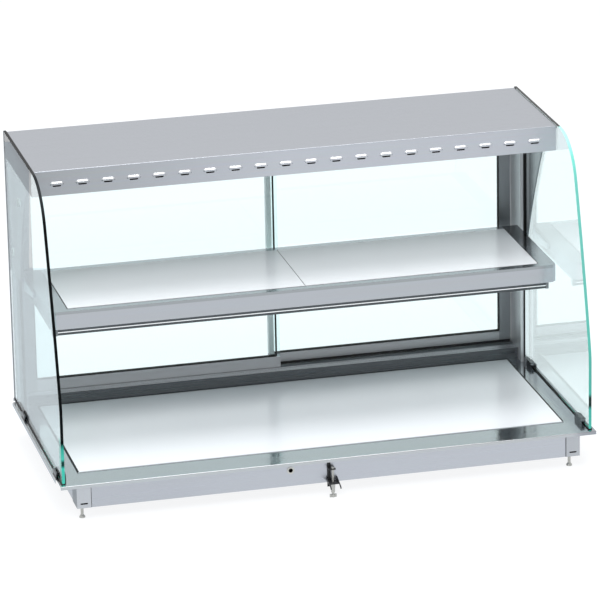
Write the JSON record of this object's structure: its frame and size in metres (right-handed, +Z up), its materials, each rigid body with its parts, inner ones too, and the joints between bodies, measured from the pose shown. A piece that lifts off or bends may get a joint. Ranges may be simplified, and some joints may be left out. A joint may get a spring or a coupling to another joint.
{
  "type": "drop-in heated display",
  "caption": "Drop-in heated display with a louvred canopy, curved side glasses, white heated glass deck and shelf, sliding rear doors and worktop clamps.",
  "frame": {"origin": "centre of the bounding box in plan, on the plane the feet stand on", "axes": "+Z up, +X to the right along the counter as the customer sees it, +Y towards the serving side with the sliding doors"},
  "size_m": [1.46, 0.787, 0.8696],
  "materials": {
    "stainless": "fine brushed",
    "polished": "bright",
    "dark_steel": "dark satin",
    "zinc": "zinc plated",
    "aluminium": "anodised",
    "white_glass": "white backed gloss",
    "clear_glass": "clear, green at the edges",
    "quartz": "clear",
    "black_rubber": "matt",
    "black_plastic": "matt",
    "opal": "translucent",
    "ceramic": "matt",
    "insulation": "matt",
    "foil": "matt foil"
  },
  "bodies": {
    "cabinet": {"bottom_cover": "stainless", "cable_gland": "black_plastic", "canopy_cover": "stainless", "canopy_end_seals": "black_rubber", "canopy_front_panel": "stainless", "canopy_lamp_channel": "aluminium", "canopy_lamp_cover": "opal", "canopy_reflectors": "polished", "canopy_underside": "stainless", "clamp_brackets": "dark_steel", "column_gussets": "polished", "column_left": "polished", "column_right": "polished", "corner_posts": "stainless", "deck_heating_foil": "foil", "deck_insulation": "insulation", "deck_plate": "white_glass", "deck_plate_gasket": "black_rubber", "deck_thermostat": "ceramic", "glass_base_gaskets": "black_rubber", "glass_clips": "polished", "glass_fixing_pads": "opal", "heater_guards": "zinc", "heater_holders": "ceramic", "heater_tubes": "quartz", "rear_sill": "polished", "shelf_frame": "polished", "shelf_hangers": "stainless", "shelf_heating_foil": "foil", "shelf_insulation": "insulation", "shelf_lamp_blocks": "black_plastic", "shelf_lamp_light": "opal", "shelf_lamp_rod": "aluminium", "shelf_lamp_strip": "aluminium", "shelf_plate_gasket": "black_rubber", "shelf_plate_left": "white_glass", "shelf_plate_right": "white_glass", "shelf_underside": "stainless", "side_glass_left": "clear_glass", "side_glass_right": "clear_glass", "terminal_box": "black_plastic", "top_deck": "stainless", "upper_track": "aluminium", "wall_insert": "zinc", "well_walls": "stainless"},
    "left_door": {"left_door_frame": "aluminium", "left_door_glass": "clear_glass", "left_door_glides": "black_plastic"},
    "right_door": {"right_door_frame": "aluminium", "right_door_glass": "clear_glass", "right_door_glides": "black_plastic"},
    "front_screw": {"clamp_screw_front": "zinc"},
    "front_claw": {"clamp_claw_front": "dark_steel"},
    "rear_screw": {"clamp_screw_rear": "zinc"},
    "rear_claw": {"clamp_claw_rear": "dark_steel"},
    "front_left_foot": {"foot_front_left": "zinc"},
    "front_right_foot": {"foot_front_right": "zinc"},
    "rear_left_foot": {"foot_rear_left": "zinc"},
    "rear_right_foot": {"foot_rear_right": "zinc"}
  },
  "joints": [
    {"name": "left_door_slide", "type": "slide", "parent": "cabinet", "child": "left_door", "axis": [1, 0, 0], "range_m": [0, 0.66]},
    {"name": "right_door_slide", "type": "slide", "parent": "cabinet", "child": "right_door", "axis": [1, 0, 0], "range_m": [-0.66, 0]},
    {"name": "front_screw_turn", "type": "hinge", "parent": "cabinet", "child": "front_screw", "pos_m": [0, -0.3595, 0.06], "axis": [0, 0, -1], "range_deg": [0, 5184]},
    {"name": "front_claw_rise", "type": "slide", "parent": "cabinet", "child": "front_claw", "axis": [0, 0, 1], "range_m": [0, 0.0181]},
    {"name": "rear_screw_turn", "type": "hinge", "parent": "cabinet", "child": "rear_screw", "pos_m": [0, 0.3595, 0.06], "axis": [0, 0, -1], "range_deg": [0, 5184]},
    {"name": "rear_claw_rise", "type": "slide", "parent": "cabinet", "child": "rear_claw", "axis": [0, 0, 1], "range_m": [0, 0.0181]},
    {"name": "front_left_foot_height", "type": "slide", "parent": "cabinet", "child": "front_left_foot", "axis": [0, 0, 1], "range_m": [-0.008, 0.008]},
    {"name": "front_right_foot_height", "type": "slide", "parent": "cabinet", "child": "front_right_foot", "axis": [0, 0, 1], "range_m": [-0.008, 0.008]},
    {"name": "rear_left_foot_height", "type": "slide", "parent": "cabinet", "child": "rear_left_foot", "axis": [0, 0, 1], "range_m": [-0.008, 0.008]},
    {"name": "rear_right_foot_height", "type": "slide", "parent": "cabinet", "child": "rear_right_foot", "axis": [0, 0, 1], "range_m": [-0.008, 0.008]}
  ],
  "couplings": [
    {"joint": "front_claw_rise", "follows": "front_screw_turn", "m_per_rad": 0.00019894},
    {"joint": "rear_claw_rise", "follows": "rear_screw_turn", "m_per_rad": 0.00019894}
  ]
}
